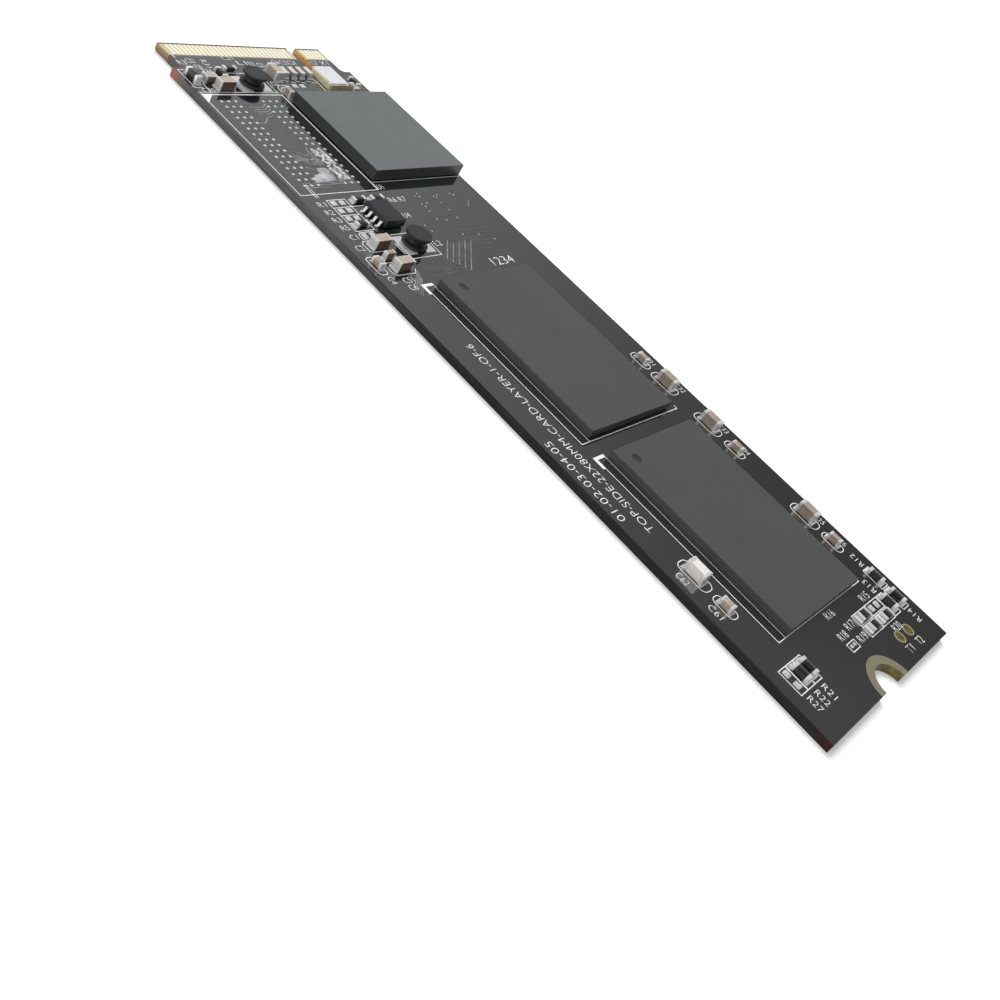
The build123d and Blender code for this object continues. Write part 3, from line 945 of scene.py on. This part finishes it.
def print_outlines():
    """Frames and lines printed around the parts."""
    lines = []

    def line(*points):
        for start, end in zip(points, points[1:]):
            lines.append(stroke(start, end, PRINT_LINE, len(lines) % 7, INK))

    def box(left, right, near, far, corner=0.0):
        lines.append(outline(left, right, near, far, len(lines) % 7, corner))

    # Around the controller and the empty cache memory footprint
    line((-18.75, -1.2), (-18.75, 10.8))
    line((-32.2, -10.67), (-17.72, -10.67), (-17.72, -1.4))
    for i in range(3):
        line((-31.95, -1.36 - i * 0.05), (-17.72, -1.36 - i * 0.05))
    line((-32.28, -10.67), (-32.28, -1.66))
    line((-31.95, -9.6), (-31.95, -1.36))
    line((-31.9, -9.6), (-31.9, -1.36))
    line((-19.0, -9.0), (-17.3, -9.0))
    line((-19.0, -9.0), (-19.0, -9.28), (-17.3, -9.28))
    # Beside each flash chip: two lines on its near side and one at its screw end
    for left, right in ((-5.33, 13.02), (14.78, 32.9)):
        line((left, -5.99), (right, -5.99))
        line((left, -7.05), (right, -7.05), (right, 7.22), (right - 0.35, 7.22))
        line((left - 0.1, 2.2), (left - 0.1, 3.4))
    # Cells of the resistors beside the regulator
    line((-16.85, -8.52), (-12.75, -8.52), (-12.75, -6.38), (-16.85, -6.38), (-16.85, -8.52))
    for cell in (-15.83, -14.8):
        line((cell, -8.52), (cell, -6.38))
    line((-13.78, -8.52), (-13.78, -8.0))
    line((-15.83, -6.3), (-15.83, -4.6))
    line((-12.55, -6.7), (-12.55, -8.35), (-12.3, -8.62), (-11.75, -8.62), (-11.75, -8.0))
    # Coil frames
    line((-11.87, -3.1), (-11.87, -5.25))
    line((-10.5, -1.66), (-8.77, -1.66), (-8.75, -5.3))
    for y in (-5.45, -5.7):
        line((-10.8, y), (-9.45, y))
    line((-35.3, -5.6), (-35.3, -3.1))
    line((-34.35, -1.66), (-32.2, -1.66))
    line((-33.2, -5.75), (-32.3, -5.65))
    line((-33.3, -8.5), (-32.4, -8.5))
    # Large and small capacitors along both edges
    for middle in (10.37, 15.5, 26.38):
        box(middle - 1.4, middle + 1.4, 8.22, 9.6, 0.55)
    for middle in (7.42, 18.6, 29.33):
        box(middle - 1.03, middle + 1.03, 8.36, 9.45, 0.45)
    box(24.45, 27.35, -9.35, -7.98, 0.55)
    box(27.83, 29.93, -9.22, -8.18, 0.45)
    box(-9.62, -7.45, -10.42, -9.45, 0.4)
    line((-11.5, -6.6), (-11.5, -8.9), (-11.2, -9.2), (-10.3, -9.2), (-10.1, -8.9), (-10.1, -7.4))
    line((-8.7, -6.5), (-8.7, -8.6), (-8.4, -9.02), (-7.45, -9.02))
    line((-7.45, -9.02), (-7.15, -8.7), (-7.1, -6.65), (-7.6, -6.2))
    # Front edge group
    line((-35.67, -10.0), (-35.67, -10.67), (-32.95, -10.67), (-32.95, -9.9))
    line((-33.55, -9.4), (-32.25, -9.4))
    line((-38.1, -9.65), (-37.5, -9.65))
    for i in range(6):
        line((-34.25 + i % 2 * 0.22, 0.7 + i * 0.7), (-34.1 + i % 2 * 0.22, 1.15 + i * 0.7))
    line((-34.6, 4.75), (-34.2, 4.85), (-32.7, 4.85))
    line((-33.45, 0.2), (-33.45, -0.6), (-33.05, -1.02), (-31.2, -1.02))
    line((-33.1, 0.2), (-33.1, -0.5), (-32.8, -0.75))
    line((-32.65, 5.05), (-32.65, 7.6))
    box(-33.6, -31.9, 8.1, 8.95, 0.3)
    # Cells at the screw end
    box(32.47, 34.47, 8.93, 10.05, 0.1)
    box(34.62, 36.62, 8.93, 10.02, 0.1)
    box(34.6, 36.58, 7.3, 8.42, 0.1)
    for near, far in ((4.87, 7.19), (2.47, 4.72)):
        box(34.58, 35.54, near, far)
        box(35.67, 36.62, near, far)
    box(35.87, 36.56, -0.95, 0.33)
    for near, far in ((-7.4, -6.3), (-8.53, -7.46), (-9.63, -8.6)):
        box(34.34, 36.43, near, far)
    return lines


def print_marks():
    """First-corner marks: a thick angle at each flash chip, a filled corner at the footprint."""
    corner = [(-32.02, -10.73), (-30.71, -10.77), (-32.03, -9.46)]
    marks = [patch(corner, 8, INK)]
    for x in (-5.73, 14.4):
        angle = [(x, -7.35), (x + 1.2, -7.35), (x + 1.2, -7.03)]
        angle += [(x + 0.3, -7.03), (x + 0.3, -5.97), (x, -5.97)]
        marks.append(patch(angle, 8, INK))
    return marks


def print_letters():
    """Plain generic lettering: part kinds with running numbers, and the card's own size."""
    letters = [
        lettering("TOP-SIDE-22X80MM-CARD-LAYER-1-OF-6", 20.3, 0.8, 11.45, -8.55, 180),
        lettering("01-02-03-04-05", 8.1, 0.8, 15.85, -10.2, 180),
        lettering("1234", 3.0, 1.0, -6.97, 4.83, 90),
        lettering("BOTTOM SIDE", 9, 1, 4, 8.6, 180, -1),
        lettering("22 X 80 MM", 8, 1, 18, 8.6, 180, -1),
    ]
    short = 0.88
    long = 1.25
    labels = [
        # At the screw end
        ("R12", long, 31.54, 9.53, 180),
        ("R13", long, 33.69, 7.8, 180),
        ("R14", long, 37.45, 9.5, 180),
        ("R15", 1.3, 34.03, 6.03, 90),
        ("R16", long, 33.47, 0.45, 90),
        ("R17", long, 34.96, 1.42, 90),
        ("R18", 1.2, 35.22, -0.35, 90),
        ("R19", long, 36.17, 1.45, 90),
        ("R20", long, 37.2, 6.2, 90),
        ("T1", 0.88, 38.98, 5.2, 90),
        ("T2", 0.9, 39.0, 7.13, 90),
        ("R21", long, 37.42, -6.88, 0),
        ("R22", long, 37.42, -8.04, 0),
        ("R27", long, 37.4, -9.15, 0),
        ("C61", long, 28.78, -9.97, 0),
        ("C62", 1.1, 25.65, -10.05, 0),
        # Between the controller and the first flash chip
        ("R1", short, -16.38, -9.4, 90),
        ("R2", short, -15.33, -9.4, 90),
        ("R3", short, -14.33, -9.4, 90),
        ("R5", short, -13.3, -9.38, 90),
        ("C1", 0.85, -12.1, -9.4, 90),
        ("C2", 0.85, -10.75, -9.9, 90),
        ("C4", short, -6.7, -9.8, 0),
        ("C51", 1.15, -6.45, -8.13, 90),
        ("C6", short, -5.6, -8.35, 90),
        ("R6", short, -16.2, -0.97, 90),
        ("R7", short, -16.2, 0.3, 90),
        ("U1", 0.6, -18.05, -0.85, 90),
        ("U4", 0.88, -14.06, -1.17, 90),
        ("L2", 0.85, -10.17, -0.86, 90),
        # At the connector
        ("C22", 0.95, -37.1, -8.35, 90),
        ("C21", 1.3, -37.75, -3.62, 90),
        ("R31", 1.2, -36.7, -6.8, 0),
        ("R30", 0.75, -36.15, -8.05, 90),
        ("R34", 1.0, -35.5, -7.5, 90),
        ("R3", 0.9, -36.8, -9.45, 90),
        ("L1", 1.1, -37.0, -2.4, 90),
        ("C23", 0.75, -36.75, -0.3, 90),
        ("R33", 0.6, -36.9, -1.3, 90),
        ("C20", 1.35, -32.55, -9.45, 90),
        ("C24", 0.95, -37.3, 4.15, 90),
        ("C25", 0.95, -37.3, 3.1, 90),
        ("C26", 0.9, -37.3, 2.0, 90),
        ("X1", 1.1, -37.4, 8.6, 90),
        ("C27", 0.9, -37.45, 7.3, 90),
        ("C28", 0.9, -33.7, -0.9, 90),
        ("C37", 0.9, -33.6, 9.05, 90),
    ]
    far_edge = ((7.7, 10.05), (11.3, 10.2), (16.4, 10.2), (19.0, 10.05), (27.2, 10.2), (29.6, 10.05))
    labels += [(f"C{number}", 1.1, x, y, 0) for number, (x, y) in enumerate(far_edge, start=31)]
    letters += [lettering(text, length, LABEL_HEIGHT, x, y, turn) for text, length, x, y, turn in labels]
    return letters


def printing():
    piece = join("board_printing", print_outlines() + print_marks() + print_letters())
    fix_place(piece)
    modify(piece, "SOLIDIFY", thickness=PRINT_HEIGHT, offset=1)
    settle(piece, "board_printing", "board")


def tracks():
    """Copper tracks and filled holes that show as low ridges under the lacquer."""
    width = 0.1 * MM
    lines = []

    def run(material, *points, side=1):
        for start, end in zip(points, points[1:]):
            lines.append(stroke(start, end, width, len(lines) % 5, material, side))

    # Slanting bundle between the controller and the first flash chip
    for i in range(9):
        total = -9.7 + i * 0.4
        first = -10.4 + (i % 3) * 0.25
        last = -8.1 + (i * 3 % 5) * 0.42
        run(FAINT_TRACK if i % 2 else TRACK, (first, total - first), (last, total - last))
        run(FAINT_TRACK, (first, total - first), (first - 0.1, total - first + 1.6 + (i % 2) * 0.7))
        run(FAINT_TRACK, (last, total - last), (last, total - last - 1.1))
    for i in range(9):
        run(FAINT_TRACK, (-8.5 + i * 0.27, -5.4), (-8.4 + i * 0.27, -2.2 + (i % 3) * 0.3))
        run(FAINT_TRACK, (-11.9 + i * 0.52, 3.6 + i * 0.1), (-11.8 + i * 0.52, 6.2 + (i % 3) * 0.5))
    for i in range(5):
        run(TRACK, (-7.3 + i * 0.24, -6.2 - i * 0.1), (-5.3 + i * 0.2, -8.6 + i * 0.1))
    run(TRACK, (-15.26, 8.6), (-14.35, 7.7))
    # Runs between the two banks of the cache memory footprint
    for i in range(4):
        x = -30.0 + i * 0.33
        run(TRACK, (x, -6.8 + (i % 2) * 0.3), (x, -5.2), (-30.5 + i * 0.4, -4.6))
    run(TRACK, (-28.65, -5.2), (-28.6, -5.7), (-27.7, -6.7), (-27.7, -7.4))
    for i in range(5):
        x = -27.2 + i * 0.36
        run(FAINT_TRACK, (x, -7.5 + (i % 2) * 0.3), (x, -6.4))
        run(FAINT_TRACK, (x - 0.1, -5.4), (x, -4.5))
    for i in range(7):
        x = -24.3 + i * 0.3
        material = TRACK if i % 2 else FAINT_TRACK
        run(material, (x, -4.9), (x + 0.9, -5.3), (x + 1.1, -5.9), (x + 0.3, -6.7 - i * 0.05))
    for i in range(4):
        x = -22.3 + i * 0.22
        run(TRACK, (x, -4.7), (x, -6.1), (x - 0.6, -6.9), (x - 0.6, -7.4))
    for i in range(9):
        x = -23.2 + i * 0.45
        run(FAINT_TRACK if i % 2 else TRACK, (x, -7.2), (x + 0.5, -6.5 + (i % 3) * 0.15))
    for i in range(3):
        run(TRACK, (-19.3 + i * 0.2, -5.9 - i * 0.1), (-19.3 + i * 0.2, -3.3))
        run(TRACK, (-19.2 + i * 0.3, -9.3), (-19.2 + i * 0.3, -6.6 + (i % 2) * 0.5))
    # Short runs outside the near bank
    for i in range(24):
        x = -31.2 + i * 0.54
        run(FAINT_TRACK, (x, -9.1 - (i % 3) * 0.25), (x + 0.35, -9.7 - (i % 2) * 0.3))
        run(FAINT_TRACK, (x + 0.1, -8.2), (x + 0.4, -8.0 + (i % 2) * 0.1))
    # Copper areas beside the far bank, painted pale with a painted reflection of glare, and their dark gaps
    far_area = [
        (-23.9, -4.6), (-23.6, -4.0), (-24.0, -3.45), (-23.2, -3.25), (-22.3, -3.3), (-21.6, -3.25),
        (-21.4, -3.6), (-21.1, -3.3), (-20.0, -3.3), (-19.45, -3.3), (-19.4, -4.7), (-20.3, -4.5),
        (-21.0, -4.75), (-21.3, -4.25), (-22.0, -4.45), (-22.6, -4.15), (-22.8, -4.75), (-23.3, -4.75),
    ]
    near_area = [
        (-21.15, -5.4), (-21.0, -4.95), (-20.3, -4.8), (-19.45, -5.05), (-19.25, -6.0),
        (-19.2, -7.6), (-19.7, -7.6), (-20.15, -7.1), (-20.4, -6.3), (-21.1, -6.05),
    ]
    lines.append(patch(far_area, 1, POUR_WITH_GLARE))
    lines.append(patch(near_area, 0, PALE_POUR_WITH_GLARE))
    gaps = ((-23.2, -3.9), (-22.25, -3.95), (-21.4, -3.95), (-20.7, -3.9), (-19.9, -3.9))
    for i, (x, y) in enumerate(gaps):
        lines.append(stroke((x - 0.18, y + 0.12), (x + 0.16, y - 0.12), 0.24 * MM, 6, MASK))
        if i != 2:
            lines.append(stroke((x - 0.1, y + 0.07), (x + 0.08, y - 0.07), 0.08 * MM, 8, SOLDER))
    for i in range(5):
        x = -23.5 + i * 0.85
        lines.append(stroke((x, -4.65 + (i % 2) * 0.2), (x + 0.3, -4.35), 0.09 * MM, 5, MASK))
        lines.append(stroke((x + 0.4, -3.25), (x + 0.3, -3.6), 0.07 * MM, 5, MASK))
    for i in range(4):
        lines.append(stroke((-20.5 + i * 0.25, -4.85), (-20.35 + i * 0.25, -5.15), 0.09 * MM, 5, MASK))
    # Filled holes in the copper beside the controller
    holes = [
        (-16.41, 2.14), (-16.74, 2.77), (-16.35, 2.76), (-16.18, 4.55), (-16.35, 5.15), (-16.35, 6.95),
        (-16.14, 7.35), (-15.31, 2.09), (-15.4, 2.83), (-14.95, 2.29), (-14.26, 2.08), (-13.17, 2.01),
        (-12.93, 3.14), (-15.21, 4.66), (-15.99, 4.74), (-14.19, 4.77), (-13.07, 4.78), (-9.73, 6.71),
        (-10.84, 3.26), (-10.58, 5.27), (-12.53, -0.22), (-11.71, -0.06),
    ]
    lines += [disc(x, y, 0.075, 8, SOLDER) for x, y in holes]
    faint_holes = [(-16.9 + i * 0.83, 8.9 - j * 1.2 - (i % 2) * 0.5) for i in range(7) for j in range(6)]
    faint_holes += [(-33.4 + i * 0.3, 3.0 + i * 0.1) for i in range(3)]
    lines += [disc(x, y, 0.13, 6, FAINT_TRACK) for x, y in faint_holes]
    # Under side: runs from the contacts to rows of filled holes, and long runs to the chips
    for i in range(12):
        y = -8.6 + i * 1.1
        run(FAINT_TRACK, (-37.6, y), (-34.5 - i % 3, y), (-33.0, y + 0.8), (-28 + i % 4, y + 0.8), side=-1)
    for i in range(8):
        y = 3.5 - i * 0.42
        run(FAINT_TRACK, (-24, y - 2), (-14, y - 2), (-12, y), (30 - i, y), side=-1)
    piece = join("covered_tracks", lines)
    fix_place(piece)
    modify(piece, "SOLIDIFY", thickness=PRINT_HEIGHT * 0.9, offset=1)
    settle(piece, "covered_tracks", "board")


# Stage, light and camera


def floor():
    bpy.ops.mesh.primitive_plane_add(size=4, location=(0, 0, -0.02 * MM))
    stage = bpy.context.object
    stage.name = "floor"
    finish = Finish("floor", (0.9, 0.9, 0.9), 0.9)
    finish.set("Specular IOR Level", 0)
    finish.set("Emission Color", (1, 1, 1, 1))
    rays = finish.node("ShaderNodeLightPath").outputs
    seen = finish.math("MAXIMUM", rays["Is Camera Ray"], rays["Is Glossy Ray"])
    finish.link(finish.math("MULTIPLY", seen, 0.2), finish.shader.inputs["Emission Strength"])
    stage.data.materials.append(finish.material)


def room_light():
    """White to the camera, a white backdrop under a dim ceiling to gloss, softly one-sided else."""
    world = bpy.data.worlds.new("studio")
    bpy.context.scene.world = world
    world.use_nodes = True
    room = Nodes(world.node_tree)
    direction = room.node("ShaderNodeTexCoord").outputs["Generated"]
    sideways = room.part(direction, "X")
    upwards = room.part(direction, "Z")
    smoothly = "SMOOTHSTEP"
    ceiling = room.math(
        "ADD",
        room.fade(sideways, -0.85, -0.1, 0.58, 0.105, smoothly),
        room.fade(upwards, 0.46, 0.56, -0.005, 0.05, smoothly),
    )
    mirrored = room.blend(room.fade(upwards, 0.22, 0.37, 0, 1, smoothly), 1, ceiling)
    around = room.fade(sideways, -1, 1, 0.72, 0.2, smoothly)
    rays = room.node("ShaderNodeLightPath").outputs
    gloss = room.math("MAXIMUM", rays["Is Glossy Ray"], rays["Is Transmission Ray"])
    strength = room.blend(rays["Is Camera Ray"], room.blend(gloss, around, mirrored), 1)
    background = room.nodes["Background"]
    background.inputs["Color"].default_value = (1, 1, 1, 1)
    room.link(strength, background.inputs["Strength"])


def lamp(name, location, size, power, mirrored):
    """A square lamp aimed at the middle of the card, seen in glossy surfaces or not."""
    bpy.ops.object.light_add(type="AREA", location=location)
    light = bpy.context.object
    light.name = name
    light.data.size = size
    light.data.energy = power
    light.visible_glossy = mirrored
    light.rotation_euler = (-Vector(location)).to_track_quat("-Z", "Y").to_euler()


def lamps():
    """The key lamp isn't mirrored, because its image would whiten the lacquer from above."""
    lamp("key_lamp", (-0.25, 0.2, 0.5), 0.35, 2.4, False)
    lamp("fill_lamp", (0.0, -0.45, 0.35), 0.4, 0.8, True)


def camera():
    """The photograph's view: the camera looks along the card from beyond its screw end."""
    focal_pixels = 1229.55
    middle_x = 468.11
    middle_y = 404.25
    picture_pixels = 1000
    sensor = 36
    place = (38.907, -81.261, 48.593)
    turn = (53.0505, -26.1986, 44.0333)
    place = [part * MM for part in place]
    bpy.ops.object.camera_add(location=place, rotation=[math.radians(angle) for angle in turn])
    view = bpy.context.object
    view.data.sensor_width = sensor
    view.data.lens = focal_pixels / picture_pixels * sensor
    view.data.shift_x = (picture_pixels / 2 - middle_x) / picture_pixels
    view.data.shift_y = (middle_y - picture_pixels / 2) / picture_pixels
    view.data.clip_start = 5 * MM
    view.data.clip_end = 10
    bpy.context.scene.camera = view


bpy.ops.object.select_all(action="DESELECT")
flush_metal()
board()
front_rim()
for grid in ("controller_balls", "flash_balls_1", "flash_balls_2"):
    ball_grid(grid)
# The controller's darker lower band is 0.95 mm high: painted shade on its sides.
moulded_chip("controller_chip", "controller_package", CONTROLLER_RESIN, 0.95 * MM)
for number in (1, 2):
    moulded_chip(f"flash_chip_{number}", f"flash_package_{number}", FLASH_RESIN, 0.18 * MM)
chip_parts()
coil(1)
coil(2)
regulator()
crystal()
square_pads("spare_chip_pads", "open_chip_pads")
square_pads("coil_pads", "coil_solder_pads")
round_pads("cache_memory_pads", "cache_round_pads", PAD_TIN, "solder", 14, False)
round_pads("test_pads", "test_points", TEST_RIM, "plated_copper", 40, True)
printing()
tracks()
floor()
room_light()
lamps()
camera()

bpy.context.scene.view_settings.view_transform = "Standard"
